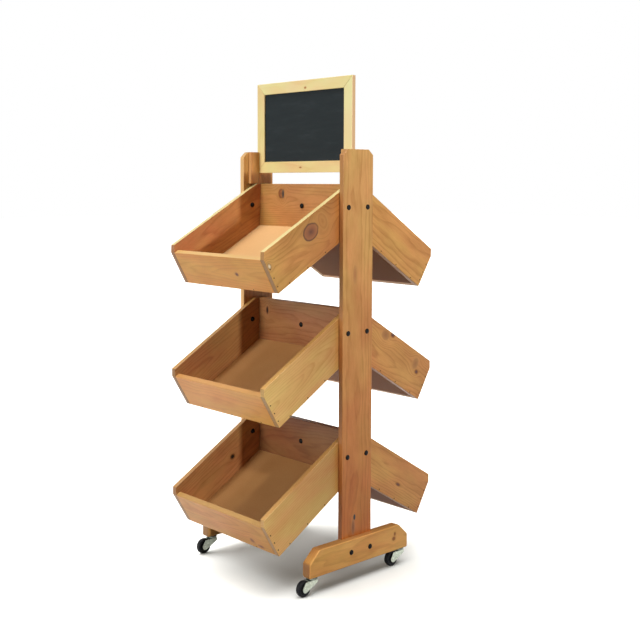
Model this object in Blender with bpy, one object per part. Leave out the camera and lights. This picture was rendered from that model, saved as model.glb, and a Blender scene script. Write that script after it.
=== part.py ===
"""Two-sided rolling display rack: two planks on notched feet, three tiers of tilted
crates bolted back to back between them, a framed blackboard standing in slots at the
top, and four swivel casters. Metres, +Z up, origin on the floor under the middle.
Left is -X, right is +X, front is -Y and rear is +Y."""

import math

import bmesh
import bpy
from mathutils import Vector

for old_object in list(bpy.data.objects):
    bpy.data.objects.remove(old_object, do_unlink=True)

MM = 0.001

# Fits and finish
CLEAR = 0.3 * MM
OVERRUN = 6 * MM
EASE = 1.2 * MM
EASE_STEPS = 2
SHARP_ANGLE = math.radians(38)
CORNER_ANGLE = math.radians(20)

# Uprights: two planks with clipped top corners
board_thick = 18 * MM
upright_width = 134 * MM
upright_length = 1334 * MM
upright_clip_across = 20 * MM
upright_clip_down = 18 * MM
inner_width = 472 * MM

# Feet: thick planks, notched on the inner side for the uprights
foot_length = 452 * MM
foot_height = 86 * MM
foot_thick = 38 * MM
foot_clip_along = 43 * MM
foot_clip_down = 40 * MM
foot_inner_round = 10 * MM
foot_outer_share = 0.4
foot_cross_share = 0.6
foot_round_steps = 4

# Tiers
top_tier_drop = 110 * MM
tier_pitch = 400 * MM
tier_names = ("top", "middle", "bottom")
top_pair_turn = math.radians(1.75)

# Crates
crate_slope = math.radians(31)
side_length = 455 * MM
side_width = 140 * MM
tip_clip = 21.8 * MM
apex_rise = 16.5 * MM
back_thick = 12 * MM
floor_thick = 8 * MM
floor_ease = 0.5 * MM

# Sign frame, its board and the slots it stands in
sign_side_play = 4.5 * MM
sign_height = 306 * MM
sign_rail = 37.5 * MM
sign_thick = 15 * MM
sign_lip = 8 * MM
sign_lip_thick = 5 * MM
sign_board_thick = 4 * MM
slot_play = 0.5 * MM
cleat_width = 38 * MM
cleat_thick = 15 * MM
sign_stop_height = 36.4 * MM

# Casters
wheel_radius = 26 * MM
wheel_width = 17 * MM
wheel_crown = 4.5 * MM
crown_share = 0.3
wheel_headroom = 4 * MM
tread_ring = 7 * MM
web_recess = 2 * MM
hub_radius = 8.5 * MM
leg_gap = 0.8 * MM
trail_past_wheel = 9.5 * MM
caster_inset = 25.5 * MM
axle_radius = 3.2 * MM
rivet_radius = 5.5 * MM
rivet_height = 1.4 * MM
leg_thick = 2 * MM
leg_end_radius = 11.5 * MM
leg_heel = 35 * MM
leg_toe = 15 * MM
leg_toe_drop = 9 * MM
plate_thick = 3 * MM
plate_heel = 14 * MM
plate_toe = 17 * MM
cup_radius = 18.5 * MM
cup_height = 8 * MM
cup_rim = 3.6 * MM
kingpin_radius = 3.5 * MM
kingpin_head_radius = 5.5 * MM
kingpin_head = 2.2 * MM
stem_radius = 4 * MM
stem_length = 32 * MM
stem_tip = 1 * MM
ROUND_STEPS = 36
SMALL_STEPS = 20

# Places that follow from the sizes
half_inner = inner_width / 2
half_gap = CLEAR / 2
caster_height = 2 * wheel_radius + wheel_headroom
rack_top = caster_height + upright_length
side_x = half_inner - CLEAR
between_x = side_x - board_thick - CLEAR
foot_mid_x = half_inner + foot_thick / 2
caster_y = foot_length / 2 - caster_inset
trail = wheel_radius + trail_past_wheel
slope_cos = math.cos(crate_slope)
slope_sin = math.sin(crate_slope)
slope_tan = math.tan(crate_slope)
crate_reach = side_length * slope_cos - tip_clip * slope_sin
tip_drop = crate_reach * slope_tan
tip_end_drop = side_length * slope_sin + tip_clip * slope_cos
apex_flat = apex_rise / slope_tan
top_tier = rack_top - top_tier_drop
slots_low = top_tier + apex_flat * math.sin(top_pair_turn) + CLEAR
slot_half = sign_thick / 2 + slot_play
sign_width = inner_width - 2 * sign_side_play
sign_bottom = slots_low + sign_stop_height + CLEAR


# Colours: name, linear RGB, roughness, metallic
def make_material(name, colour, roughness, metallic):
    material = bpy.data.materials.new(name)
    material.use_nodes = True
    shader = material.node_tree.nodes["Principled BSDF"]
    shader.inputs["Base Color"].default_value = (*colour, 1.0)
    shader.inputs["Roughness"].default_value = roughness
    shader.inputs["Metallic"].default_value = metallic
    material.diffuse_color = (*colour, 1.0)
    return material


stained_wood = make_material("honey_stained_wood", (0.52, 0.25, 0.085), 0.42, 0.0)
pale_wood = make_material("pale_frame_wood", (0.72, 0.50, 0.23), 0.45, 0.0)
hardboard = make_material("tan_hardboard", (0.56, 0.34, 0.16), 0.55, 0.0)
blackboard = make_material("dark_blackboard", (0.032, 0.038, 0.045), 0.7, 0.0)
zinc = make_material("bright_zinc", (0.72, 0.73, 0.70), 0.28, 1.0)
black_rubber = make_material("black_rubber", (0.012, 0.012, 0.014), 0.45, 0.0)


# Builds one mesh object from points and faces, with its own origin and faces out
def add_object(name, points, faces, origin, material):
    mesh = bpy.data.meshes.new(name)
    mesh.from_pydata([Vector(point) - Vector(origin) for point in points], [], faces)
    shell = bmesh.new()
    shell.from_mesh(mesh)
    bmesh.ops.recalc_face_normals(shell, faces=shell.faces)
    shell.to_mesh(mesh)
    shell.free()
    mesh.materials.append(material)
    made = bpy.data.objects.new(name, mesh)
    made.location = origin
    bpy.context.scene.collection.objects.link(made)
    return made


def smooth_round(made):
    made.data.shade_smooth()
    made.data.set_sharp_from_angle(angle=SHARP_ANGLE)


# Sweeps a closed outline (first, second) along the third direction from low to high
def swept(name, outline, low, high, to_world, material):
    count = len(outline)
    points = [to_world(a, b, low) for a, b in outline]
    points += [to_world(a, b, high) for a, b in outline]
    faces = [tuple(range(count)), tuple(range(count, 2 * count))]
    for i in range(count):
        j = (i + 1) % count
        faces.append((i, j, j + count, i + count))
    middle = sum((Vector(point) for point in points), Vector()) / len(points)
    return add_object(name, points, faces, middle, material)


# A board whose outline lies in the Y-Z plane and whose thickness runs along X
def board_across_x(name, outline, low, high, material, ease):
    made = swept(name, outline, low, high, lambda y, z, x: (x, y, z), material)
    if ease:
        ease_edges(made, ease, EASE_STEPS)
    return made


# Rounds the outward corners only, so that a rabbet keeps its square inner corner. Each
# edge gets a share of the width, by where its middle lies.
def ease_edges(made, width, steps, share_at=lambda middle: 1.0):
    shell = bmesh.new()
    shell.from_mesh(made.data)
    weight = shell.edges.layers.float.new("bevel_weight_edge")
    for edge in shell.edges:
        middle = (edge.verts[0].co + edge.verts[1].co) / 2
        outward = edge.calc_face_angle_signed() > CORNER_ANGLE
        edge[weight] = share_at(middle) if outward else 0.0
    shell.to_mesh(made.data)
    shell.free()
    bevel = made.modifiers.new("eased edges", "BEVEL")
    bevel.width = width
    bevel.segments = steps
    bevel.limit_method = "WEIGHT"
    smooth_round(made)


def rectangle(low_a, high_a, low_b, high_b):
    return [(low_a, low_b), (high_a, low_b), (high_a, high_b), (low_a, high_b)]


# Turns a profile of (radius, along) round an axis; a radius of zero is a pole
def turned(name, profile, steps, to_world, origin, material):
    points = []
    rings = []
    for radius, along in profile:
        if radius == 0:
            rings.append([len(points)] * steps)
            points.append(to_world(0.0, 0.0, along))
            continue
        rings.append(list(range(len(points), len(points) + steps)))
        for k in range(steps):
            angle = 2 * math.pi * k / steps
            points.append(to_world(radius * math.cos(angle), radius * math.sin(angle), along))
    closed = profile[0][0] > 0 and profile[-1][0] > 0
    pairs = list(zip(rings, rings[1:]))
    if closed:
        pairs.append((rings[-1], rings[0]))
    faces = []
    for lower, upper in pairs:
        for k in range(steps):
            n = (k + 1) % steps
            corners = []
            for index in (lower[k], lower[n], upper[n], upper[k]):
                if index not in corners:
                    corners.append(index)
            if len(corners) > 2:
                faces.append(tuple(corners))
    made = add_object(name, points, faces, origin, material)
    smooth_round(made)
    return made


# Fuses or cuts one object with others, applies it and removes the helpers
def combine(made, others, operation):
    for other in others:
        boolean = made.modifiers.new(operation, "BOOLEAN")
        boolean.operation = operation
        boolean.solver = "EXACT"
        boolean.object = other
    graph = bpy.context.evaluated_depsgraph_get()
    graph.update()
    result = bpy.data.meshes.new_from_object(made.evaluated_get(graph))
    made.modifiers.clear()
    made.data = result
    for other in others:
        bpy.data.objects.remove(other, do_unlink=True)
    smooth_round(made)
    return made


# Uprights stand in the notches of the feet, flush with their inner faces
def build_upright(side, name):
    half = upright_width / 2
    outline = [
        (-half, caster_height),
        (half, caster_height),
        (half, rack_top - upright_clip_down),
        (half - upright_clip_across, rack_top),
        (-half + upright_clip_across, rack_top),
        (-half, rack_top - upright_clip_down),
    ]
    near = side * half_inner
    far = side * (half_inner + board_thick)
    board_across_x(name, outline, min(near, far), max(near, far), stained_wood, EASE)


def build_foot(side, name):
    half = foot_length / 2
    top = caster_height + foot_height
    outline = [
        (-half, caster_height),
        (half, caster_height),
        (half, top - foot_clip_down),
        (half - foot_clip_along, top),
        (-half + foot_clip_along, top),
        (-half, top - foot_clip_down),
    ]
    near = side * half_inner
    far = side * (half_inner + foot_thick)
    foot = board_across_x(name, outline, min(near, far), max(near, far), stained_wood, 0)

    def round_share(middle):
        if abs(middle.x) < CLEAR:
            return foot_cross_share
        return foot_outer_share if side * middle.x > 0 else 1.0

    ease_edges(foot, foot_inner_round, foot_round_steps, round_share)
    notch_half = upright_width / 2 + CLEAR
    notch_near = side * (half_inner - OVERRUN)
    notch_far = side * (half_inner + board_thick + CLEAR)
    notch = board_across_x(
        "notch cutter",
        rectangle(-notch_half, notch_half, caster_height - OVERRUN, top + OVERRUN),
        min(notch_near, notch_far),
        max(notch_near, notch_far),
        stained_wood,
        0,
    )
    cutters = [notch]
    bore_top = caster_height + stem_length + CLEAR
    bore = stem_radius + CLEAR
    for y in (-caster_y, caster_y):
        profile = [
            (0, caster_height - OVERRUN),
            (bore, caster_height - OVERRUN),
            (bore, bore_top),
            (0, bore_top),
        ]
        cutters.append(turned(
            "stem bore cutter",
            profile,
            SMALL_STEPS,
            lambda a, b, z, y=y: (side * foot_mid_x + a, y + b, z),
            (side * foot_mid_x, y, caster_height),
            stained_wood,
        ))
    combine(foot, cutters, "DIFFERENCE")


for side, word in ((-1, "left"), (1, "right")):
    build_upright(side, "upright_" + word)
    build_foot(side, "foot_" + word)


# Cleats and stops form the two slots that the sign stands in
for side, word in ((-1, "left"), (1, "right")):
    near = side * side_x
    far = side * (side_x - cleat_thick)
    for outward, end in ((-1, "front"), (1, "rear")):
        inner_y = outward * slot_half
        outer_y = outward * (slot_half + cleat_width)
        board_across_x(
            f"cleat_{word}_{end}",
            rectangle(min(inner_y, outer_y), max(inner_y, outer_y), slots_low, rack_top),
            min(near, far),
            max(near, far),
            stained_wood,
            EASE,
        )
    stop_half = slot_half - CLEAR
    board_across_x(
        f"sign_stop_{word}",
        rectangle(-stop_half, stop_half, slots_low, slots_low + sign_stop_height),
        min(near, far),
        max(near, far),
        stained_wood,
        EASE,
    )


# The outlines of one crate's boards, in the upright plane that runs from front to rear.
# The pair on a tier is turned about the height of its two plumb tips, so that both tips
# keep their reach.
class CrateOutline:
    def __init__(self, tier_top, outward, turn):
        self.apex = tier_top + apex_rise
        self.pivot = self.apex - (tip_drop + tip_end_drop) / 2
        self.outward = outward
        self.turn = turn

    # A point at a distance from the centre plane and at a height
    def at(self, distance, height):
        y = self.outward * distance
        z = height - self.pivot
        turned_y = y * math.cos(self.turn) + z * math.sin(self.turn)
        turned_z = z * math.cos(self.turn) - y * math.sin(self.turn)
        return (turned_y, self.pivot + turned_z)

    # A point along the slope from the centre, and a depth down from the top edge
    def on_slope(self, along, depth):
        distance = along * slope_cos - depth * slope_sin
        return self.at(distance, self.apex - along * slope_sin - depth * slope_cos)

    # The point of a line parallel to the slope, at a distance from the centre plane
    def on_slope_at(self, distance, depth):
        return self.on_slope((distance + depth * slope_sin) / slope_cos, depth)


# One tilted crate: two sides, a lip board, a back board and a floor
def build_crate(tier_word, tier_top, outward, end, turn):
    stem = f"crate_{tier_word}_{end}_"
    place = CrateOutline(tier_top, outward, turn)
    side_outline = [
        place.at(half_gap, tier_top),
        place.at(apex_flat, tier_top),
        place.on_slope_at(crate_reach, 0.0),
        place.on_slope(side_length, tip_clip),
        place.on_slope(side_length, side_width),
        place.on_slope_at(half_gap, side_width),
    ]
    for side, word in ((-1, "left"), (1, "right")):
        near = side * side_x
        far = side * (side_x - board_thick)
        board_across_x(
            stem + "side_" + word, side_outline, min(near, far), max(near, far), stained_wood, EASE
        )

    lip_inner = side_length - board_thick
    lip_outline = [
        place.on_slope(side_length, tip_clip),
        place.on_slope(side_length, side_width),
        place.on_slope(lip_inner, side_width),
        place.on_slope(lip_inner, tip_clip),
    ]
    board_across_x(stem + "lip_board", lip_outline, -between_x, between_x, stained_wood, EASE)

    back_front = half_gap + back_thick
    back_outline = [
        place.at(half_gap, tier_top),
        place.at(back_front, tier_top),
        place.on_slope_at(back_front, side_width),
        place.on_slope_at(half_gap, side_width),
    ]
    board_across_x(stem + "back_board", back_outline, -between_x, between_x, stained_wood, EASE)

    floor_back = back_front + CLEAR
    floor_front = lip_inner - CLEAR
    floor_top = side_width - floor_thick
    floor_outline = [
        place.on_slope_at(floor_back, floor_top),
        place.on_slope(floor_front, floor_top),
        place.on_slope(floor_front, side_width),
        place.on_slope_at(floor_back, side_width),
    ]
    board_across_x(stem + "floor_board", floor_outline, -between_x, between_x, hardboard, floor_ease)


for number, tier_word in enumerate(tier_names):
    tier_top = top_tier - number * tier_pitch
    turn = top_pair_turn if number == 0 else 0.0
    for outward, end in ((-1, "front"), (1, "rear")):
        build_crate(tier_word, tier_top, outward, end, turn)


# The sign: four mitred rails with a rabbet at the back, and a board in the rabbet.
# Each rail runs along u, reaches inward along w, and goes back along t.
def build_sign_rail(name, corner, along, inward, length):
    back_step = sign_lip_thick
    profile = [
        (0.0, 0.0),
        (sign_rail, 0.0),
        (sign_rail, back_step),
        (sign_rail - sign_lip, back_step),
        (sign_rail - sign_lip, sign_thick),
        (0.0, sign_thick),
    ]
    back = Vector((0.0, 1.0, 0.0))
    cut = CLEAR / 2 * math.sqrt(2)
    count = len(profile)
    points = []
    for far_end in (False, True):
        for w, t in profile:
            u = length - w - cut if far_end else w + cut
            points.append(corner + along * u + inward * w + back * t)
    faces = [tuple(range(count)), tuple(range(count, 2 * count))]
    for i in range(count):
        j = (i + 1) % count
        faces.append((i, i + count, j + count, j))
    middle = corner + along * length / 2 + back * sign_thick / 2
    rail = add_object(name, points, faces, middle, pale_wood)
    ease_edges(rail, EASE, EASE_STEPS)
    return rail


half_sign = sign_width / 2
front_y = -sign_thick / 2
sign_top = sign_bottom + sign_height
right_way = Vector((1.0, 0.0, 0.0))
up_way = Vector((0.0, 0.0, 1.0))
low_left = Vector((-half_sign, front_y, sign_bottom))
low_right = Vector((half_sign, front_y, sign_bottom))
high_left = Vector((-half_sign, front_y, sign_top))
build_sign_rail("sign_rail_bottom", low_left, right_way, up_way, sign_width)
build_sign_rail("sign_rail_top", high_left, right_way, -up_way, sign_width)
build_sign_rail("sign_stile_left", low_left, up_way, right_way, sign_height)
build_sign_rail("sign_stile_right", low_right, up_way, -right_way, sign_height)

panel_inset = sign_rail - sign_lip + CLEAR
panel_front = front_y + sign_lip_thick + CLEAR
board_across_x(
    "sign_blackboard",
    rectangle(
        panel_front,
        panel_front + sign_board_thick,
        sign_bottom + panel_inset,
        sign_top - panel_inset,
    ),
    -half_sign + panel_inset,
    half_sign - panel_inset,
    blackboard,
    0,
)


# A swivel caster: a stem, cup and kingpin fixed in the foot, a pressed fork that hangs
# on the kingpin's head and turns under the cup with the axle riveted across it, and a
# wheel that trails behind the stem
def build_caster(stem_x, stem_y, stem_name):
    cup_top = caster_height - CLEAR
    cup_low = cup_top - cup_height
    plate_top = cup_low - CLEAR
    plate_low = plate_top - plate_thick
    axle_y = stem_y - trail
    axle_z = wheel_radius
    head_top = plate_low - CLEAR
    head_low = head_top - kingpin_head
    mount_profile = [
        (0, head_low),
        (kingpin_head_radius - kingpin_head / 2, head_low),
        (kingpin_head_radius, head_top - kingpin_head / 2),
        (kingpin_head_radius, head_top),
        (kingpin_radius, head_top),
        (kingpin_radius, cup_low),
        (cup_radius - cup_rim, cup_low),
        (cup_radius - cup_rim / 3, cup_low + cup_rim / 3),
        (cup_radius, cup_low + cup_rim),
        (cup_radius, cup_top),
        (stem_radius, cup_top),
        (stem_radius, caster_height + stem_length - stem_tip),
        (stem_radius - stem_tip, caster_height + stem_length),
        (0, caster_height + stem_length),
    ]
    turned(
        stem_name + "_mount",
        mount_profile,
        SMALL_STEPS,
        lambda a, b, z: (stem_x + a, stem_y + b, z),
        (stem_x, stem_y, cup_low),
        zinc,
    )

    # Fork: a plate with a round toe, two legs that narrow to the axle, and the axle
    leg_in = wheel_width / 2 + web_recess / 2 + leg_gap
    leg_out = leg_in + leg_thick
    toe_centre = stem_y + plate_toe - leg_out
    plate_outline = [(stem_x - leg_out, stem_y - plate_heel), (stem_x + leg_out, stem_y - plate_heel)]
    half_steps = SMALL_STEPS // 2
    for k in range(half_steps + 1):
        angle = math.pi * k / half_steps
        plate_outline.append((
            stem_x + leg_out * math.cos(angle),
            toe_centre + leg_out * math.sin(angle),
        ))
    fork = swept(stem_name + "_fork", plate_outline, plate_low, plate_top, lambda x, y, z: (x, y, z), zinc)

    toe_low = (stem_y + leg_toe, plate_top - leg_toe_drop)
    to_toe = Vector((toe_low[0] - axle_y, toe_low[1] - axle_z))
    to_heel = Vector((stem_y - leg_heel - axle_y, plate_top - axle_z))
    start = tangent_angle(to_heel, leg_end_radius, 1)
    stop = tangent_angle(to_toe, leg_end_radius, -1)
    while stop < start:
        stop += 2 * math.pi
    leg_outline = [(stem_y - leg_heel, plate_top)]
    for k in range(half_steps + 1):
        angle = start + (stop - start) * k / half_steps
        leg_outline.append((
            axle_y + leg_end_radius * math.cos(angle),
            axle_z + leg_end_radius * math.sin(angle),
        ))
    leg_outline += [toe_low, (stem_y + leg_toe, plate_top)]
    extra = []
    for side in (-1, 1):
        near = stem_x + side * leg_in
        far = stem_x + side * leg_out
        extra.append(board_across_x("leg helper", leg_outline, min(near, far), max(near, far), zinc, 0))
    pin_half = leg_out + rivet_height
    pin_profile = [
        (0, -pin_half),
        (rivet_radius - rivet_height / 2, -pin_half),
        (rivet_radius, -pin_half + rivet_height / 2),
        (rivet_radius, -leg_out + leg_thick / 2),
        (axle_radius, -leg_out + leg_thick / 2),
        (axle_radius, leg_out - leg_thick / 2),
        (rivet_radius, leg_out - leg_thick / 2),
        (rivet_radius, pin_half - rivet_height / 2),
        (rivet_radius - rivet_height / 2, pin_half),
        (0, pin_half),
    ]
    extra.append(turned(
        "axle helper",
        pin_profile,
        SMALL_STEPS,
        lambda a, b, x: (stem_x + x, axle_y + a, axle_z + b),
        (stem_x, axle_y, axle_z),
        zinc,
    ))
    combine(fork, extra, "UNION")
    hole = kingpin_radius + CLEAR
    hole_profile = [
        (0, plate_low - kingpin_head),
        (hole, plate_low - kingpin_head),
        (hole, plate_top + OVERRUN),
        (0, plate_top + OVERRUN),
    ]
    drill = turned(
        "kingpin hole cutter",
        hole_profile,
        SMALL_STEPS,
        lambda a, b, z: (stem_x + a, stem_y + b, z),
        (stem_x, stem_y, plate_low),
        zinc,
    )
    combine(fork, [drill], "DIFFERENCE")
    move_origin(fork, (stem_x, stem_y, plate_top))

    # Wheel: a crowned tread, dished webs and a hub with a bore for the axle
    half = wheel_width / 2
    hub_half = half + web_recess / 2
    bore = axle_radius + CLEAR
    web = half - web_recess
    shoulder = wheel_radius - wheel_crown
    one_side = [
        (bore, hub_half),
        (hub_radius, hub_half),
        (hub_radius + web_recess / 2, web),
        (wheel_radius - tread_ring, web),
        (shoulder, half),
        (wheel_radius - wheel_crown * crown_share, half - wheel_crown * crown_share),
        (wheel_radius, half - wheel_crown),
    ]
    profile = [(radius, -along) for radius, along in one_side] + one_side[::-1]
    turned(
        stem_name + "_wheel",
        profile[::-1],
        ROUND_STEPS,
        lambda a, b, x: (stem_x + x, axle_y + b, axle_z - a),
        (stem_x, axle_y, axle_z),
        black_rubber,
    )


# Direction, from a circle's centre, of the point where a line from outside touches it
def tangent_angle(outside, radius, turn):
    return math.atan2(outside.y, outside.x) + turn * math.acos(radius / outside.length)


def move_origin(made, place):
    shift = made.location - Vector(place)
    for vertex in made.data.vertices:
        vertex.co += shift
    made.location = place


for end_sign, end in ((-1, "front"), (1, "rear")):
    for side, word in ((-1, "left"), (1, "right")):
        build_caster(side * foot_mid_x, end_sign * caster_y, f"caster_{end}_{word}")
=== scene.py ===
# %% [markdown]
# # A market rack of stained pine
# Two planks stand in feet on casters. Between them three tiers of tilted crates are bolted back to
# back, and a framed blackboard stands in slots on top. The shapes come from the CAD model, which is
# loaded first and never changed, so a drawing and a picture of the rack can't drift apart. This
# file gives it what a CAD model lacks: grain, knots and stain, and the bolts and nails.

# %% Load the CAD model as a fixed frame
import math

import bpy
import numpy as np
from mathutils import Matrix, Vector


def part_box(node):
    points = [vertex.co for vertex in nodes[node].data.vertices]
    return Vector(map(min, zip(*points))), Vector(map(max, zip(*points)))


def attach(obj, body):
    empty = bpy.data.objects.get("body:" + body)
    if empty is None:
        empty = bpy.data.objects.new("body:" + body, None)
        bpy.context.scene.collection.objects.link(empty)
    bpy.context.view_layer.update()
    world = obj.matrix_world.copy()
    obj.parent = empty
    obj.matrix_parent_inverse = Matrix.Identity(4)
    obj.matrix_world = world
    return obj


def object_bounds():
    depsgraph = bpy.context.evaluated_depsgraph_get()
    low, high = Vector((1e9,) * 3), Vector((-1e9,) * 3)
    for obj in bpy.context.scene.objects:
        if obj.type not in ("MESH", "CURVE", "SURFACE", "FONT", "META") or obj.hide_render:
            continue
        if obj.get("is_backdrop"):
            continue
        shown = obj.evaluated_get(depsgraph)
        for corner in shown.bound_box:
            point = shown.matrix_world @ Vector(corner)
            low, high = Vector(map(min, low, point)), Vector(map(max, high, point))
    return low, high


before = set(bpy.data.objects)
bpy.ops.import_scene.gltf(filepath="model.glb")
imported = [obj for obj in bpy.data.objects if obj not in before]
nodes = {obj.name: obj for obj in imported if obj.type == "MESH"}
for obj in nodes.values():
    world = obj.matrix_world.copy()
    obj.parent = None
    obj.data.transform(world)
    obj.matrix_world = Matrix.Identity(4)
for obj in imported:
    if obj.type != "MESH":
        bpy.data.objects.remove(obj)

MM = 0.001
cad_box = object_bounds()
print(len(nodes), "CAD nodes, size in mm", [round(s / MM, 1) for s in cad_box[1] - cad_box[0]])

# %% [markdown]
# ## Camera
# The camera was worked out from the photograph: the corners of the real boards were matched with
# the model's corners by least squares. It stands to the front right of the rack, at four fifths of
# its height, and looks slightly down. The lens shift does what cropping a larger picture does: it
# moves the frame without tilting the camera any further, so the upright planks stay upright.

# %% Set the camera
CAMERA_AZIMUTH = math.radians(48.61)
CAMERA_PITCH = math.radians(4.401)
CAMERA_DISTANCE = 3499.3 * MM
CAMERA_ASIDE = -89.3 * MM
CAMERA_HEIGHT = 1288.7 * MM
LENS_PIXELS, CENTRE_PIXELS, PICTURE_PIXELS = 1041.8, (277.3, 261.5), 640

ahead = Vector((-math.sin(CAMERA_AZIMUTH), math.cos(CAMERA_AZIMUTH), 0))
right = Vector((math.cos(CAMERA_AZIMUTH), math.sin(CAMERA_AZIMUTH), 0))
look = ahead * math.cos(CAMERA_PITCH) - Vector((0, 0, math.sin(CAMERA_PITCH)))
camera_data = bpy.data.cameras.new("camera")
camera_data.lens = LENS_PIXELS * camera_data.sensor_width / PICTURE_PIXELS
camera_data.shift_x = 0.5 - CENTRE_PIXELS[0] / PICTURE_PIXELS
camera_data.shift_y = CENTRE_PIXELS[1] / PICTURE_PIXELS - 0.5
camera = bpy.data.objects.new("camera", camera_data)
camera.matrix_world = Matrix((right, right.cross(look), -look)).transposed().to_4x4()
camera.location = right * CAMERA_ASIDE - ahead * CAMERA_DISTANCE + Vector((0, 0, CAMERA_HEIGHT))
bpy.context.scene.collection.objects.link(camera)
bpy.context.scene.camera = camera
shift = [round(v, 4) for v in (camera_data.shift_x, camera_data.shift_y)]
print("lens", round(camera_data.lens, 2), "mm, shift", shift)

# %% [markdown]
# ## Colours, sizes and nodes
# Colours are picked as they look on a screen (sRGB), but light adds up in linear values, so one
# function turns a hex colour to linear. A noise node asks for a scale, which is cells per metre; it
# is easier to think in the size of one cell, so a second function turns millimetres to that. A third
# adds a shader node with its settings and links in one call, which keeps a material readable as
# steps. Most sockets go by name. The terms of a sum or a product all have the same name, so they go
# by number: 0, 1 and 2 are the first, second and third. A Mix node has each name once for numbers
# and once for colours, so the places of the ones for colours get names of their own here.

# %% Helpers
SHARE, FIRST, SECOND, MIXED = 0, 6, 7, 2


def linear(hex_colour):
    """Linear RGBA of an sRGB hex colour: c / 12.92 where dark, else ((c + 0.055) / 1.055) ** 2.4."""
    c = np.array([int(hex_colour[i:i + 2], 16) for i in (1, 3, 5)]) / 255
    channels = np.where(c > 0.04045, ((c + 0.055) / 1.055) ** 2.4, c / 12.92)
    return (*channels.tolist(), 1.0)


def cells(*sizes):
    """Scale of a pattern whose cells have these sizes in mm: one number for one size."""
    scales = tuple(1 / (size * MM) for size in sizes)
    return scales if len(scales) > 1 else scales[0]


def add_node(tree, kind, settings=(), inputs=(), out=0):
    """Adds one shader node, sets and links it, and returns its output socket if it has one."""
    node = tree.nodes.new("ShaderNode" + kind)
    for name, value in dict(settings).items():
        if name == "stops":
            while len(node.color_ramp.elements) < len(value):
                node.color_ramp.elements.new(1.0)
            for element, (position, colour) in zip(node.color_ramp.elements, value):
                element.position = position
                element.color = linear(colour)
        else:
            setattr(node, name, value)
    for name, value in dict(inputs).items():
        if isinstance(value, bpy.types.NodeSocket):
            tree.links.new(value, node.inputs[name])
        else:
            node.inputs[name].default_value = value
    return node.outputs[out] if len(node.outputs) else None


print("a honey colour in linear values", [round(v, 3) for v in linear("#BE8A56")[:3]])

# %% Materials and slots
def new_material(name):
    """An empty node material and its node tree."""
    material = bpy.data.materials.new(name)
    material.use_nodes = True
    material.node_tree.nodes.clear()
    return material, material.node_tree


def finish_material(tree, **inputs):
    """Ends a material: a Principled shader with these inputs, linked to the output."""
    inputs = {name.replace("_", " "): value for name, value in inputs.items()}
    add_node(tree, "OutputMaterial", {}, {"Surface": add_node(tree, "BsdfPrincipled", {}, inputs)})


def give(node, material):
    """Puts a material in every slot of a CAD node."""
    slots = nodes[node].data.materials
    for i in range(len(slots)):
        slots[i] = material


# %% [markdown]
# ## Light, floor and background
# A white studio. The lamp at the right is a little over two metres from the near plank, so the
# plank's top is lighter than its foot, and its shadow falls as a dark band on the far side of each
# crate. A lamp in front lights the lips, a weak one behind the backs, and one overhead the upper
# edges. Suns suit these three, because they light the top and the bottom of the rack alike, and a
# sun's width in degrees makes its shadow soft. The floor is left out of all four, and has a very
# wide sun to itself. Above the horizon the background is white because of the world's colour for
# camera rays, and not because of more light.

# %% Lamps
def add_lamp(name, kind, energy, size, colour, towards):
    """A lamp that shines from towards to the rack. Size is in degrees for a sun, else in metres."""
    lamp = bpy.data.lights.new(name, kind)
    lamp.energy = energy
    lamp.color = linear(colour)[:3]
    if kind == "SUN":
        lamp.angle = math.radians(size)
    else:
        lamp.shape, lamp.size = "DISK", size
    holder = bpy.data.objects.new(name, lamp)
    holder.rotation_euler = towards.to_track_quat("Z", "Y").to_euler()
    bpy.context.scene.collection.objects.link(holder)
    return holder


def lamp_way(azimuth, height):
    """Unit vector to a lamp, from its azimuth (0 in front, 90 at the right) and height in degrees."""
    a, e = math.radians(azimuth), math.radians(height)
    return Vector((math.sin(a) * math.cos(e), -math.cos(a) * math.cos(e), math.sin(e)))


RIGHT_PLACE = Vector((2.5, 0.09, 1.76))
right_lamp = add_lamp("right_lamp", "AREA", energy=38.0, size=0.12, colour="#FFFAEE",
                      towards=lamp_way(azimuth=90, height=14))
right_lamp.location = RIGHT_PLACE
front_lamp = add_lamp("front_lamp", "SUN", energy=1.6, size=26.0, colour="#FFF6EA",
                      towards=lamp_way(azimuth=-8, height=12))
back_lamp = add_lamp("back_lamp", "SUN", energy=1.0, size=20.0, colour="#FFFDF6",
                     towards=lamp_way(azimuth=205, height=30))
top_lamp = add_lamp("top_lamp", "SUN", energy=2.6, size=32.0, colour="#FFFDF6",
                    towards=lamp_way(azimuth=-10, height=77))
floor_lamp = add_lamp("floor_lamp", "SUN", energy=7.9, size=90.0, colour="#FFFCF4",
                      towards=lamp_way(azimuth=-72, height=71))
print("right lamp at", tuple(RIGHT_PLACE))

# %% World
SURROUND = 0.035


def seen_directly(tree):
    """1 for a ray from the camera, off a shiny surface or through a clear one, and else 0."""
    path = add_node(tree, "LightPath").node
    seen = add_node(tree, "Math", {"operation": "MAXIMUM"},
                    {0: path.outputs["Is Camera Ray"], 1: path.outputs["Is Glossy Ray"]})
    return add_node(tree, "Math", {"operation": "MAXIMUM"},
                    {0: seen, 1: path.outputs["Is Transmission Ray"]})


world = bpy.data.worlds.new("studio")
bpy.context.scene.world = world
world.use_nodes = True
tree = world.node_tree
tree.nodes.clear()
strength = add_node(tree, "MapRange", {}, {"Value": seen_directly(tree), "To Min": SURROUND})
light = add_node(tree, "Background", {}, {"Color": (1.0, 1.0, 1.0, 1.0), "Strength": strength})
add_node(tree, "OutputWorld", {}, {"Surface": light})
print("light from all round", SURROUND)

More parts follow.
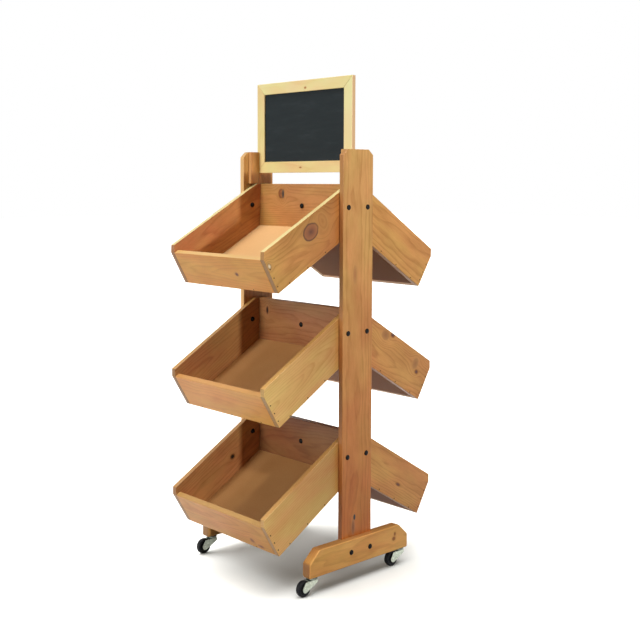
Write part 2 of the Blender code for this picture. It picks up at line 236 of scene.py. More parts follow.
# %% Floor
# White background paper, matt. It is overexposed in full light and keeps the rack's shadow. It has a
# wide lamp to itself: near things the shadow of such a lamp is dark, and it fades away from them.
# To light that bounces up to the rack it is a plain grey, so its strong lamp doesn't flood the rack.
PAPER_CLOUD, GLOW, FLOOR_REACH = 170.0, 0.14, 30.0
material, tree = new_material("white_background_paper")
place = add_node(tree, "TexCoord", out="Object")
mottle = add_node(tree, "TexNoise", {}, {"Vector": place, "Scale": cells(PAPER_CLOUD),
                                         "Detail": 3.0})
paper = add_node(tree, "ValToRGB", {"stops": [(0.3, "#E2E5E9"), (0.7, "#E6E9ED")]}, {"Fac": mottle})
matt = add_node(tree, "BsdfDiffuse", {}, {"Color": paper})
glow = add_node(tree, "Emission", {}, {"Color": linear("#F2F0E2"), "Strength": GLOW})
both = add_node(tree, "AddShader", {}, {0: matt, 1: glow})
plain = add_node(tree, "BsdfDiffuse", {}, {"Color": linear("#5A5854")})
shader = add_node(tree, "MixShader", {}, {0: seen_directly(tree), 1: plain, 2: both})
add_node(tree, "OutputMaterial", {}, {"Surface": shader})
floor_mesh = bpy.data.meshes.new("floor")
corners = np.array([(-1, -1, 0), (1, -1, 0), (1, 1, 0), (-1, 1, 0)]) * FLOOR_REACH
floor_mesh.from_pydata(corners.tolist(), [], [(0, 1, 2, 3)])
floor_mesh.materials.append(material)
floor = bpy.data.objects.new("floor", floor_mesh)
bpy.context.scene.collection.objects.link(floor)
floor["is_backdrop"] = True
print("floor", 2 * FLOOR_REACH, "m wide")

# %% Which lamp lights the floor
# Light linking: a lamp lights what its collection holds, or all but what is excluded there.
not_floor = bpy.data.collections.new("all_but_the_floor")
not_floor.objects.link(floor)
not_floor.collection_objects[0].light_linking.link_state = "EXCLUDE"
for lamp in (right_lamp, front_lamp, back_lamp, top_lamp):
    lamp.light_linking.receiver_collection = not_floor
floor_only = bpy.data.collections.new("the_floor_only")
floor_only.objects.link(floor)
floor_lamp.light_linking.receiver_collection = floor_only
print("lamp of the floor:", floor_lamp.name)

# %% [markdown]
# ## Stained knotty pine
# A plank is a slice of a tree. Its grain is what the saw left of the tree's growth rings, so the
# pattern here is made in the same way: each board gets a line for the heart of its tree, the
# distance from that line is divided by the width of a ring, and slow noise bends the rings, which
# are never quite round. Where the heart leans a little to a board's face, the rings show on it as
# pointed arches, and where it runs parallel as straight lines. A picture of wood could be wrapped on
# instead, but it would repeat on nearly forty boards, and it wouldn't carry the grain round a
# board's edges.

# %% Sizes of the grain, in mm
RING = 7.0  # pine's rings are 2 to 4 mm wide, drawn wider so that they show from 3.5 metres
FIBRE_LONG, FIBRE_WIDE = 36.0, 1.6  # a bundle of fibres is 0.3 mm wide, drawn five times as wide
WANDER = (200.0, 45.0, 45.0)  # how far along and across the rings wander
WIPE = (143.0, 59.0, 59.0)  # a stroke of the stain cloth
PATCH = (200.0, 77.0, 77.0)  # where the wood took the stain redder or yellower
WOBBLE = 22.0  # a bend in the rim of a knot
print("rings to a metre:", round(cells(RING)))

# %% [markdown]
# ### Knots
# A knot is a branch cut across. The grain parts round it, so the point that the rings are read at is
# pulled towards the knot. Its distance, stretched to the knot's own length and width, also colours
# it: a ramp from its middle to its rim, and a faint halo where the resin darkened the wood.

# %% Part the grain round knots
def part_grain(tree, board, turn, centre, knots):
    """The point that the grain is read at, and each knot's (distance, inside, halo, colours).

    Distance = length of ((x - x0) / half length, (y - y0) / half width) + a wobble, so 1 is its rim.
    Point = (x, y + pull (y - y0)), with a pull from -0.9 near the knot's middle to 0 at 3.6 rims.
    Inside falls from 1 to 0 at the rim, and the halo is gone at 2.2 rims.
    """
    wobble = add_node(tree, "TexNoise", {}, {"Vector": board, "Scale": cells(WOBBLE), "Detail": 3.0})
    wobble = add_node(tree, "Math", {"operation": "MULTIPLY_ADD"}, {0: wobble, 1: 0.3, 2: -0.15})
    flow, marks = board, []
    for spot, half_length, half_width, colours in knots:
        local = turn.transposed() @ (Vector(spot) * MM - Vector(centre))
        offset = add_node(tree, "VectorMath", {"operation": "SUBTRACT"},
                          {0: board, 1: (local.x, local.y, 0.0)})
        sized = add_node(tree, "VectorMath", {"operation": "MULTIPLY"},
                         {0: offset, 1: (*cells(half_length, half_width), 0.0)})
        away = add_node(tree, "VectorMath", {"operation": "LENGTH"}, {0: sized}, out="Value")
        pull = add_node(tree, "MapRange", {"interpolation_type": "SMOOTHSTEP"},
                        {"Value": away, "From Min": 0.6, "From Max": 3.6,
                         "To Min": -0.9, "To Max": 0.0})
        pull = add_node(tree, "CombineXYZ", {}, {"Y": pull})
        flow = add_node(tree, "VectorMath", {"operation": "MULTIPLY_ADD"},
                        {0: offset, 1: pull, 2: flow})
        away = add_node(tree, "Math", {"operation": "ADD"}, {0: away, 1: wobble})
        inside = add_node(tree, "MapRange", {"interpolation_type": "SMOOTHSTEP"},
                          {"Value": away, "From Min": 1.12, "From Max": 0.96})
        halo = add_node(tree, "MapRange", {"interpolation_type": "SMOOTHSTEP"},
                        {"Value": away, "From Min": 2.2, "From Max": 0.9, "To Max": 0.35})
        marks.append((away, inside, halo, colours))
    return flow, marks


# %% [markdown]
# ### Growth rings
# Spring wood is pale and soft, and the late wood that ends each year is dark and hard. The ramp
# rises slowly through the year and drops fast at its end, as the real colour does. Late wood takes
# less stain than the soft wood beside it, which is why the rings stay faint under the honey colour.

# %% Growth rings
BEND = 2.6  # rings; how far the slow noise can move a ring
YEAR = [(0.0, "#000000"), (0.5, "#5A5A5A"), (0.86, "#FFFFFF"), (1.0, "#000000")]


def growth_rings(tree, flow, heart, tilt, ring, seed):
    """Late wood, 0 to 1: the fraction of (distance from the tree's heart + slow noise) / ring."""
    tree_heart = add_node(tree, "Mapping", {"vector_type": "TEXTURE"},
                          {"Vector": flow, "Location": (0.0, heart[0] * MM, -heart[1] * MM),
                           "Rotation": (0.0, math.radians(tilt), 0.0)})
    flat = add_node(tree, "VectorMath", {"operation": "MULTIPLY"},
                    {0: tree_heart, 1: (0.0, 1.0, 1.0)})
    radius = add_node(tree, "VectorMath", {"operation": "LENGTH"}, {0: flat}, out="Value")
    slow = add_node(tree, "Mapping", {}, {"Vector": flow, "Location": (seed, seed * 1.7, 0.0),
                                          "Scale": cells(*WANDER)})
    slow = add_node(tree, "TexNoise", {}, {"Vector": slow, "Scale": 1.0, "Detail": 2.5})
    bent = add_node(tree, "Math", {"operation": "MULTIPLY_ADD"},
                    {0: slow, 1: BEND * ring * MM, 2: radius})
    turns = add_node(tree, "Math", {"operation": "DIVIDE"}, {0: bent, 1: ring * MM})
    year = add_node(tree, "Math", {"operation": "FRACT"}, {0: turns})
    return add_node(tree, "ValToRGB", {"stops": YEAR}, {"Fac": year})


print("colours of a year:", len(YEAR))

# %% [markdown]
# ### Stain
# The stain is a honey-coloured varnish, wiped on with a cloth: a little uneven, redder in some
# places and yellower in others. One number says how deep the colour is, the sum of the rings, the
# fibres and the strokes of the cloth, and it mixes two colours.

# %% Stain
RING_SHARE, FIBRE_SHARE, STROKE_SHARE = 0.3, 0.55, 1.1
MIDDLE, USUAL_SUM = 0.5, 0.955  # the middle depth, and about what the three come to on average
PATCHES = [(0.36, "#FCFFE8"), (0.64, "#FFEEE2")]


def wipe_stain(tree, board, flow, late, pale, deep, contrast, seed):
    """The fibres, the stain's depth and its colour. Depth = rings + fibres + strokes, about 0.5.

    seed moves each noise to another place, so that no two boards match.
    """
    fibre = add_node(tree, "Mapping", {}, {"Vector": flow, "Location": (0.0, seed, 0.0),
                                           "Scale": cells(FIBRE_LONG, FIBRE_WIDE, FIBRE_WIDE)})
    fibre = add_node(tree, "TexNoise", {}, {"Vector": fibre, "Scale": 1.0, "Detail": 3.0,
                                            "Roughness": 0.62})
    stroke = add_node(tree, "Mapping", {}, {"Vector": board, "Location": (seed * 3.1, seed, 4.0),
                                            "Scale": cells(*WIPE)})
    stroke = add_node(tree, "TexNoise", {}, {"Vector": stroke, "Scale": 1.0, "Detail": 4.0,
                                             "Roughness": 0.55})
    depth = add_node(tree, "Math", {"operation": "MULTIPLY_ADD"},
                     {0: late, 1: RING_SHARE * contrast, 2: MIDDLE - USUAL_SUM * contrast})
    depth = add_node(tree, "Math", {"operation": "MULTIPLY_ADD"},
                     {0: fibre, 1: FIBRE_SHARE * contrast, 2: depth})
    depth = add_node(tree, "Math", {"operation": "MULTIPLY_ADD"},
                     {0: stroke, 1: STROKE_SHARE * contrast, 2: depth})
    wood = add_node(tree, "Mix", {"data_type": "RGBA"},
                    {SHARE: depth, FIRST: linear(pale), SECOND: linear(deep)}, out=MIXED)
    patch = add_node(tree, "Mapping", {}, {"Vector": board, "Location": (seed, 3.0, seed * 0.7),
                                           "Scale": cells(*PATCH)})
    patch = add_node(tree, "TexNoise", {}, {"Vector": patch, "Scale": 1.0, "Detail": 2.0})
    patch = add_node(tree, "ValToRGB", {"stops": PATCHES}, {"Fac": patch})
    wood = add_node(tree, "Mix", {"data_type": "RGBA", "blend_type": "MULTIPLY"},
                    {SHARE: 1.0, FIRST: wood, SECOND: patch}, out=MIXED)
    return fibre, depth, wood


print("shares of the depth:", RING_SHARE, FIBRE_SHARE, STROKE_SHARE)

# %% [markdown]
# ### One board
# The cut ends of a board show the pores of the wood, which drink the stain and turn dark or grey.
# Its upper edge was sanded round and is paler, and it also carries painted light and shade: lighter
# on the top crates, where most light falls, and browner further down, under the crates above. Both
# are found from the way that the surface faces, so no face has to be picked by hand.

# %% One material for each board
KNOT_STOPS = (0.0, 0.45, 0.8, 1.0)  # from a knot's middle to its rim
PALE_EDGE = "#F4DA90"


def stained_board(name, centre, along, face, pale, deep, heart=(18, 95), tilt=2.5, knots=(),
                  seed=0.0, ring=RING, contrast=1.0, painted_shade_fade=None, sanded_and_lit_edge=(0.3, PALE_EDGE),
                  end_grain="#8C6A46"):
    """Stained wood for a board whose grain runs along and whose broad face looks to face.

    heart is where the tree's heart runs, in mm across and behind the middle of the board, and tilt
    its angle to the face. Each knot is (place, half length, half width, colours), in mm. The
    darkening along the board is (start, end, colour) in mm, and is painted shade. The upper edge is
    (how much, colour): its sanding, with painted light and shade on the crates and the uprights.
    """
    material, tree = new_material(name)
    along, face = Vector(along).normalized(), Vector(face).normalized()
    across = face.cross(along)
    turn = Matrix((along, across, face)).transposed()
    board = add_node(tree, "Mapping", {"vector_type": "TEXTURE"},
                     {"Vector": add_node(tree, "TexCoord", out="Object"), "Location": centre,
                      "Rotation": turn.to_euler()})
    flow, marks = part_grain(tree, board, turn, centre, knots)
    late = growth_rings(tree, flow, heart, tilt, ring, seed)
    fibre, depth, wood = wipe_stain(tree, board, flow, late, pale, deep, contrast, seed)
    # Painted shade: the board gets darker along its length.
    if painted_shade_fade:
        start, stop, shade_colour = painted_shade_fade
        way = add_node(tree, "SeparateXYZ", {}, {"Vector": board}, out="X")
        far = add_node(tree, "MapRange", {},
                       {"Value": way, "From Min": start * MM, "From Max": stop * MM})
        wood = add_node(tree, "Mix", {"data_type": "RGBA", "blend_type": "MULTIPLY"},
                        {SHARE: far, FIRST: wood, SECOND: linear(shade_colour)}, out=MIXED)

    # A face that looks along the grain is a cut end, and one that looks across it the upper edge.
    normal = add_node(tree, "NewGeometry", out="Normal")
    end = add_node(tree, "VectorMath", {"operation": "DOT_PRODUCT"}, {0: normal, 1: along},
                   out="Value")
    end = add_node(tree, "Math", {"operation": "ABSOLUTE"}, {0: end})
    end = add_node(tree, "MapRange", {},
                   {"Value": end, "From Min": 0.6, "From Max": 0.95, "To Max": 0.7})
    wood = add_node(tree, "Mix", {"data_type": "RGBA"},
                    {SHARE: end, FIRST: wood, SECOND: linear(end_grain)}, out=MIXED)
    # The upper edge's colour is its sanding, and on the crates and uprights also painted light and
    # shade.
    edge = add_node(tree, "VectorMath", {"operation": "DOT_PRODUCT"}, {0: normal, 1: across},
                    out="Value")
    edge = add_node(tree, "MapRange", {},
                    {"Value": edge, "From Min": 0.55, "From Max": 0.9, "To Max": sanded_and_lit_edge[0]})
    wood = add_node(tree, "Mix", {"data_type": "RGBA"},
                    {SHARE: edge, FIRST: wood, SECOND: linear(sanded_and_lit_edge[1])}, out=MIXED)
    for away, inside, halo, (*colours, resin) in marks:
        wood = add_node(tree, "Mix", {"data_type": "RGBA"},
                        {SHARE: halo, FIRST: wood, SECOND: linear(resin)}, out=MIXED)
        knot = add_node(tree, "ValToRGB", {"stops": list(zip(KNOT_STOPS, colours))}, {"Fac": away})
        wood = add_node(tree, "Mix", {"data_type": "RGBA"},
                        {SHARE: inside, FIRST: wood, SECOND: knot}, out=MIXED)

    # Late wood stands up a little, and wood with a deeper stain is a little duller.
    height = add_node(tree, "Math", {"operation": "MULTIPLY_ADD"}, {0: late, 1: 0.35, 2: fibre})
    bump = add_node(tree, "Bump", {}, {"Height": height, "Strength": 0.25, "Distance": 0.3 * MM})
    gloss = add_node(tree, "MapRange", {}, {"Value": depth, "To Min": 0.36, "To Max": 0.5})
    finish_material(tree, Base_Color=wood, Roughness=gloss, Normal=bump, IOR=1.5,
                    Specular_IOR_Level=0.28, Coat_Weight=0.06, Coat_Roughness=0.3)
    return material


# %% [markdown]
# ### Which slice each board is
# The knots that stand out on the real rack are put where they are on it, as points in millimetres
# from the spot on the floor under the rack's middle. The other boards only differ in their slice,
# which a number per board sets.

# %% Colours of knots, from the middle to the rim, and the halo
RED_KNOT = ("#4A2416", "#865030", "#985E36", "#40220E", "#A87642")
SWIRL = ("#A66E36", "#B47C40", "#AA723A", "#B88244", "#B88246")
RING_KNOT = ("#6A3C1C", "#965C2C", "#784620", "#A66E34", "#B07A3E")
GREY_KNOT = ("#1C1614", "#3A2E28", "#6A503A", "#8A6A40", "#A87440")
SMALL_KNOT = ("#36180A", "#5E2E10", "#92581E", "#AC6E30", "#B47A38")
SOFT_KNOT = ("#7C4014", "#94561E", "#AA6826", "#BC7C34", "#C2843A")
RED_MARK = ("#AC7242", "#B27A48", "#B8824C", "#BC884E", "#C08C52")
HOLE_KNOT = ("#0A0807", "#0E0B09", "#7E5430", "#8C6038", "#946640")
SLIT = ("#050403", "#080605", "#120C08", "#5A3820", "#9A683C")
STREAK = ("#84502E", "#905A34", "#9E663E", "#A87046", "#AE764A")
DARK_SLIT = ("#1C120C", "#3A2418", "#7A5236", "#A47850", "#BC9068")
CHIP = ("#F0E4D0", "#E0C8A4", "#B48C5C", "#9A7448", "#B98A54")
SPLIT = ("#1E1610", "#30241A", "#6E5438", "#8A6A44", "#A8804E")
SMUDGE = ("#9C6638", "#A46E3C", "#AE7842", "#B8824A", "#BC864E")
PALE_KNOT = ("#8A5A2C", "#B07A44", "#CFA268", "#E0BE86", "#E6CC94")
print("each knot has", len(KNOT_STOPS), "colours and a halo")

# %% Knots, as (place, half length, half width, colours)
KNOTS = {
    "crate_top_front_side_right": [
        ((235, -189, 1134), 33, 25, RED_KNOT), ((235, -139, 1166), 20, 30, SWIRL),
        ((235, -358, 1036), 7, 10, CHIP), ((235, -373, 1023), 3.4, 15, SPLIT)],
    "crate_top_front_back_board": [
        ((-107, -12, 1247), 15, 17, RING_KNOT), ((-98, -12, 1246), 6, 16, GREY_KNOT)],
    "crate_top_front_lip_board": [((71, -349, 1001), 8, 7, SMALL_KNOT)],
    "crate_middle_front_back_board": [((-174, -12, 840), 7, 15, DARK_SLIT)],
    "crate_bottom_front_side_left": [((-218, -135, 331), 12, 10, HOLE_KNOT)],
    "crate_bottom_front_lip_board": [
        ((124, -333, 167), 11, 10, SOFT_KNOT), ((159, -326, 155), 16, 7, SOFT_KNOT)],
    "crate_middle_rear_side_right": [
        ((235, 302, 668), 14, 19, SMUDGE), ((235, 152, 782), 19, 17, SMUDGE),
        ((235, 307, 639), 10, 8, SMALL_KNOT), ((235, 188, 778), 12, 10, SMALL_KNOT)],
    "crate_bottom_rear_side_right": [((235, 219, 263), 14, 6, SMALL_KNOT)],
    "upright_right": [
        ((254, -13, 992), 30, 9, RED_MARK), ((254, -16, 172), 24, 7, STREAK),
        ((254, -10, 204), 9, 4.6, SLIT)],
    "foot_right": [((274, 163, 114), 5, 7, SOFT_KNOT), ((274, 158, 99), 8, 7, SOFT_KNOT)],
    "sign_rail_bottom": [((-10, -7, 1335), 7, 3, PALE_KNOT)],
    "sign_rail_top": [((13, -7, 1598), 6, 4, PALE_KNOT)],
}
print(sum(len(k) for k in KNOTS.values()), "knots on", len(KNOTS), "boards")

# %% Stains and painted light and shade of the boards, as (pale, deep)
# HONEY is the usual stain. LIP is paler: painted light, where the lips face the light from the front.
# Of the boards listed, the darker back boards and far sides of the front crates are painted shade,
# and the paler near sides of the lower front crates are painted light. The rest are stains of their
# own.
HONEY = ("#E4B26E", "#A66E38")
LIP = ("#FABE64", "#C48036")
STAINS_AND_PAINTED_LIGHT = {
    "crate_top_front_back_board": ("#D0A26A", "#9C6C3E"),
    "crate_middle_front_back_board": ("#B88C64", "#885A3A"),
    "crate_bottom_front_back_board": ("#9A6E4E", "#6C442C"),
    "crate_bottom_front_lip_board": ("#EAAA50", "#AC6C28"),
    "crate_middle_rear_side_right": ("#E0A666", "#A26436"),
    "crate_bottom_rear_side_right": ("#E4AA68", "#A66838"),
    "crate_middle_front_side_left": ("#B88A5E", "#865838"),
    "crate_bottom_front_side_left": ("#C8986A", "#946440"),
    "crate_top_front_side_left": ("#D49A6C", "#9C603C"),
    "crate_middle_front_side_right": ("#FFDA9A", "#D6A062"),
    "crate_bottom_front_side_right": ("#FFE09C", "#E2A466"),
}
print(len(STAINS_AND_PAINTED_LIGHT), "boards have a stain of their own")

# %% Slices, painted shade and upper edges
# Two boards have a slice of their own, as (heart, tilt), and three get darker along their length, as
# (start, end, colour): painted shade, where less light falls on the near sides towards their back and
# top. The upper edges are (how much, colour) for each tier: their sanding, with painted light and
# shade that makes them lighter on the top crates and browner further down.
SLICES = {"crate_middle_front_side_right": ((-6, 20), 4.5),
          "crate_bottom_front_side_right": ((110, 20), 0.8)}
PAINTED_SHADE_FADES = {"crate_top_front_side_right": (-150, 60, "#DECABC"),
         "crate_middle_front_side_right": (-200, 160, "#C8B6A6"),
         "crate_bottom_front_side_right": (-200, 160, "#C0AC9C")}
# Painted light and shade: the upper edges are lighter on the top crates and browner further down.
SIDE_EDGES = {"top": (0.8, "#E0D79B"), "middle": (0.8, "#BC9052"), "bottom": (0.8, "#AB804C")}
LIP_EDGES = {"top": (0.9, "#D5B072"), "middle": (0.9, "#BF8E56"), "bottom": (0.9, "#AC8854")}
BACK_EDGES = {"top": (0.55, PALE_EDGE), "middle": (0.4, "#F2BE7A"), "bottom": (0.4, "#F2BE7A")}
SEED_STEP = 7.3  # times a board's number, moves its noise to a place of its own


def slice_of(number, aside, behind, spread, lean):
    """A board's heart and tilt: sines of its number, so that no two boards are the same slice."""
    heart = (aside * math.sin(number * 2.1), behind + spread * math.sin(number * 1.3))
    return heart, lean * math.sin(number * 3.7)


print(len(SLICES), "boards with a slice of their own,", len(PAINTED_SHADE_FADES), "that get darker along")

# %% Boards of the crates
# Knotty pine, planed and stained: honey brown, with faint rings and a soft gloss from thin varnish.
# A tier is (degrees that the real pair of crates sits turned by, height of its top in mm before
# that turn).
TIERS = {"top": (1.75, 1280.0), "middle": (0.0, 880.0), "bottom": (0.0, 480.0)}
SLOPE = 31.0
LIP_LEAN = math.radians(30)  # how far down the lips look, for their grain
LIP_CONTRAST = 0.7
count = 0
for tier, (turned, _) in TIERS.items():
    for half, way in (("front", -1), ("rear", 1)):
        slope = math.radians(SLOPE + way * turned)
        for piece in ("side_left", "side_right", "lip_board", "back_board"):
            node = f"crate_{tier}_{half}_{piece}"
            low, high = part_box(node)
            is_lip = piece == "lip_board"
            if piece.startswith("side"):
                along, face = (0, math.cos(slope), -way * math.sin(slope)), (1, 0, 0)
                edges = SIDE_EDGES
            elif is_lip:
                along = (-way, 0, 0)
                face = (0, way * math.cos(LIP_LEAN), -math.sin(LIP_LEAN))
                edges = LIP_EDGES
            else:
                along, face = (-way, 0, 0), (0, way, 0)
                edges = BACK_EDGES
            count += 1
            pale, deep = STAINS_AND_PAINTED_LIGHT.get(node, LIP if is_lip else HONEY)
            own_slice = slice_of(count, aside=30, behind=60, spread=45, lean=3.0)
            heart, tilt = SLICES.get(node, own_slice)
            give(node, stained_board(
                "stained_pine_" + node, (low + high) / 2, along, face, pale, deep, heart, tilt,
                knots=KNOTS.get(node, ()), seed=count * SEED_STEP, painted_shade_fade=PAINTED_SHADE_FADES.get(node),
                sanded_and_lit_edge=edges[tier], contrast=LIP_CONTRAST if is_lip else 1.0))
print(count, "crate boards")

# %% Uprights, feet, cleats and the sign's stops
# The same pine, planed and stained, in longer and thicker planks with straighter rings. The near
# upright gets darker and redder towards its bottom, and the far one towards its top: painted shade.
# The tops of the feet are darker. The front edge of the near upright is darker, painted shadow of
# the crates beside it, and the front edge of the far one is paler, painted light.
PLANKS = {"upright": ("#E3B87D", "#A97940"), "foot": ("#FFC87E", "#CA8A4A"),
          "cleat": ("#E4AE7A", "#AC7240"), "sign": ("#E4AE7A", "#AC7240")}
# Painted light and shade on the front edges: the near upright's is darker, the far upright's paler.
EDGES = {"upright_right": (0.5, "#9C663C"), "upright_left": (0.7, "#FCD498"),
         "foot_left": (0.7, "#96663A"), "foot_right": (0.7, "#96663A")}
# Painted shade: darker and redder towards the bottom of the near upright and the top of the far one.
UPRIGHT_PAINTED_SHADE = (650, -500, "#EAB892")
for node in [n for n in nodes if n.startswith(("upright", "foot", "cleat", "sign_stop"))]:
    low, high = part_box(node)
    side = 1 if "right" in node else -1
    kind = node.split("_")[0]
    count += 1
    along = (0, side, 0) if kind == "foot" else (0, 0, side)
    pale, deep = PLANKS[kind]
    heart, tilt = slice_of(count, aside=20, behind=80, spread=30, lean=1.0)
    give(node, stained_board(
        "stained_pine_" + node, (low + high) / 2, along, (side, 0, 0), pale, deep, heart, tilt,
        knots=KNOTS.get(node, ()), seed=count * SEED_STEP,
        painted_shade_fade=UPRIGHT_PAINTED_SHADE if kind == "upright" else None,
        sanded_and_lit_edge=EDGES.get(node, (0.2, PALE_EDGE)), end_grain="#5C3420"))
print(count, "stained boards")

# %% [markdown]
# ## Sign
# The frame of the sign is clear pine with a thin lacquer and no stain, so it is pale yellow. It is
# the same kind of wood, so the same function makes it from paler colours. The board is hardboard
# with chalkboard paint: matt, blue-black, and hazy where chalk was wiped off.

# %% Sign frame
# Clear pine, planed and lacquered: straight narrow rings and hardly any knots. The outer edges of
# the stiles are drawn browner, as they look on the real sign.
CLEAR_RING, CLEAR_CONTRAST = 5.0, 0.8
SIGN_FRAME = {"rail_bottom": ((1, 0, 0), "#FFF6C8", "#EAD49A"),
              "rail_top": ((1, 0, 0), "#FFFCD4", "#F6E8AE"),
              "stile_left": ((0, 0, 1), "#FFF6C8", "#EAD49A"),
              "stile_right": ((0, 0, -1), "#FFFFDE", "#F8F4B8")}
for board, (along, pale, deep) in SIGN_FRAME.items():
    node = "sign_" + board
    low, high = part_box(node)
    count += 1
    give(node, stained_board(
        "lacquered_pine_" + node, (low + high) / 2, along, (0, -1, 0), pale, deep,
        heart=(12 * math.sin(count), 70), tilt=0.6, knots=KNOTS.get(node, ()), seed=count * 5.1,
        ring=CLEAR_RING, contrast=CLEAR_CONTRAST,
        sanded_and_lit_edge=(0.9, "#D8AE88") if "stile" in node else (0.3, PALE_EDGE)))
print("sign frame of", len(SIGN_FRAME), "boards")

# %% Blackboard
# Chalkboard paint, rolled on: matt and gritty, with long wipes of chalk dust. The grit of the real
# paint is 0.1 mm, drawn as 1.1 mm.
WIPE_OF_CHALK, WIPE_TURN, GRIT = (150.0, 150.0, 32.0), 0.35, 1.1
CHALK = [(0.25, "#22292E"), (0.55, "#2A3237"), (0.85, "#394148")]
material, tree = new_material("chalkboard_paint")
place = add_node(tree, "TexCoord", out="Object")
haze = add_node(tree, "Mapping", {}, {"Vector": place, "Rotation": (0.0, WIPE_TURN, 0.0),
                                      "Scale": cells(*WIPE_OF_CHALK)})
haze = add_node(tree, "TexNoise", {}, {"Vector": haze, "Scale": 1.0, "Detail": 5.0,
                                       "Roughness": 0.6})
grit = add_node(tree, "TexNoise", {}, {"Vector": place, "Scale": cells(GRIT), "Detail": 2.0})
colour = add_node(tree, "ValToRGB", {"stops": CHALK}, {"Fac": haze})
bump = add_node(tree, "Bump", {}, {"Height": grit, "Strength": 0.3, "Distance": 0.1 * MM})
dull = add_node(tree, "MapRange", {}, {"Value": haze, "From Min": 0.3, "From Max": 0.7,
                                       "To Min": 0.8, "To Max": 0.92})
finish_material(tree, Base_Color=colour, Roughness=dull, Normal=bump, IOR=1.45,
                Specular_IOR_Level=0.2)
give("sign_blackboard", material)
low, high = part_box("sign_blackboard")
print("blackboard", [round(s / MM, 1) for s in high - low], "mm")

# %% [markdown]
# ## Crate floors
# The floors are hardboard: pressed wood fibre, smooth, tan and without grain. Under a glass it is
# all short fibres and flecks, which fine noise gives, with a little coarse noise for the cloudiness
# of the pulp. There are three tones, and which floor gets which is painted shade: the front floors
# get darker further down, under the crates above, and the rear floors' tones are set for their
# undersides, which are in shade. Only the upper face is smooth: the pulp lies on a wire screen in
# the press, which leaves its print on the underside, and that underside is drawn darker as painted
# shade. The rough underside hardly shines. The way a face looks tells the material which of the two
# it is.

# %% Hardboard
# Hardboard, hot-pressed on a screen. The flecks are 0.5 mm, drawn as 2.1 mm, and the wires of the
# screen are 1.3 mm apart, drawn as 4 mm.
FLECK, CLOUD, SCREEN = 2.1, 110.0, 4.0
TONE_STOPS = (0.55, 0.8, 1.0)
HARDBOARDS = {
    "pale": (("#E2B886", "#D8AE7A", "#CCA26E"), "#A87444", ("top_front", "middle_rear")),
    "tan": (("#D2A46E", "#C69660", "#BA8A56"), "#B47242", ("middle_front", "bottom_rear")),
    "brown": (("#C09462", "#B48856", "#AA7C4C"), "#98683C", ("bottom_front", "top_rear"))}
for tone, (colours, underside, crates) in HARDBOARDS.items():
    material, tree = new_material(f"pressed_hardboard_{tone}")
    place = add_node(tree, "TexCoord", out="Object")
    fleck = add_node(tree, "TexNoise", {}, {"Vector": place, "Scale": cells(FLECK), "Detail": 3.0,
                                            "Roughness": 0.7})
    cloud = add_node(tree, "TexNoise", {}, {"Vector": place, "Scale": cells(CLOUD), "Detail": 3.0})
    cloud = add_node(tree, "MapRange", {}, {"Value": cloud, "To Min": 0.35, "To Max": 0.65})
    both = add_node(tree, "Math", {"operation": "MULTIPLY_ADD"}, {0: fleck, 1: 0.55, 2: cloud})
    smooth = add_node(tree, "ValToRGB", {"stops": list(zip(TONE_STOPS, colours))}, {"Fac": both})
    normal = add_node(tree, "NewGeometry", out="Normal")
    facing = add_node(tree, "SeparateXYZ", {}, {"Vector": normal}, out="Z")
    below = add_node(tree, "MapRange", {}, {"Value": facing, "From Min": -0.4, "From Max": -0.7})
    # Painted shade: the underside is drawn darker.
    dark = add_node(tree, "Mix", {"data_type": "RGBA", "blend_type": "MULTIPLY"},
                    {SHARE: 0.3, FIRST: linear(underside), SECOND: smooth}, out=MIXED)
    colour = add_node(tree, "Mix", {"data_type": "RGBA"},
                      {SHARE: below, FIRST: smooth, SECOND: dark}, out=MIXED)
    wires = add_node(tree, "VectorMath", {"operation": "MULTIPLY"},
                     {0: place, 1: [v * 2 * math.pi for v in cells(SCREEN, SCREEN, SCREEN)]})
    wires = add_node(tree, "VectorMath", {"operation": "SINE"}, {0: wires})
    wires = add_node(tree, "VectorMath", {"operation": "DOT_PRODUCT"},
                     {0: wires, 1: (0.5, 0.5, 0.0)}, out="Value")
    print_of_screen = add_node(tree, "Math", {"operation": "MULTIPLY"}, {0: wires, 1: below})
    height = add_node(tree, "Math", {"operation": "ADD"}, {0: print_of_screen, 1: fleck})
    bump = add_node(tree, "Bump", {}, {"Height": height, "Strength": 0.2, "Distance": 0.15 * MM})
    gloss = add_node(tree, "MapRange", {}, {"Value": fleck, "From Min": 0.3, "From Max": 0.7,
                                            "To Min": 0.54, "To Max": 0.66})
    shine = add_node(tree, "MapRange", {}, {"Value": below, "To Min": 0.3, "To Max": 0.1})
    finish_material(tree, Base_Color=colour, Roughness=gloss, Normal=bump, IOR=1.45,
                    Specular_IOR_Level=shine)
    for crate in crates:
        give(f"crate_{crate}_floor_board", material)
    print("hardboard", tone, "in", crates)

# %% [markdown]
# ## Casters
# The cups and forks are pressed steel with a bright zinc plating, and the wheels solid black rubber.
# Both are small in the picture, so their colour and the width of their highlights matter most.

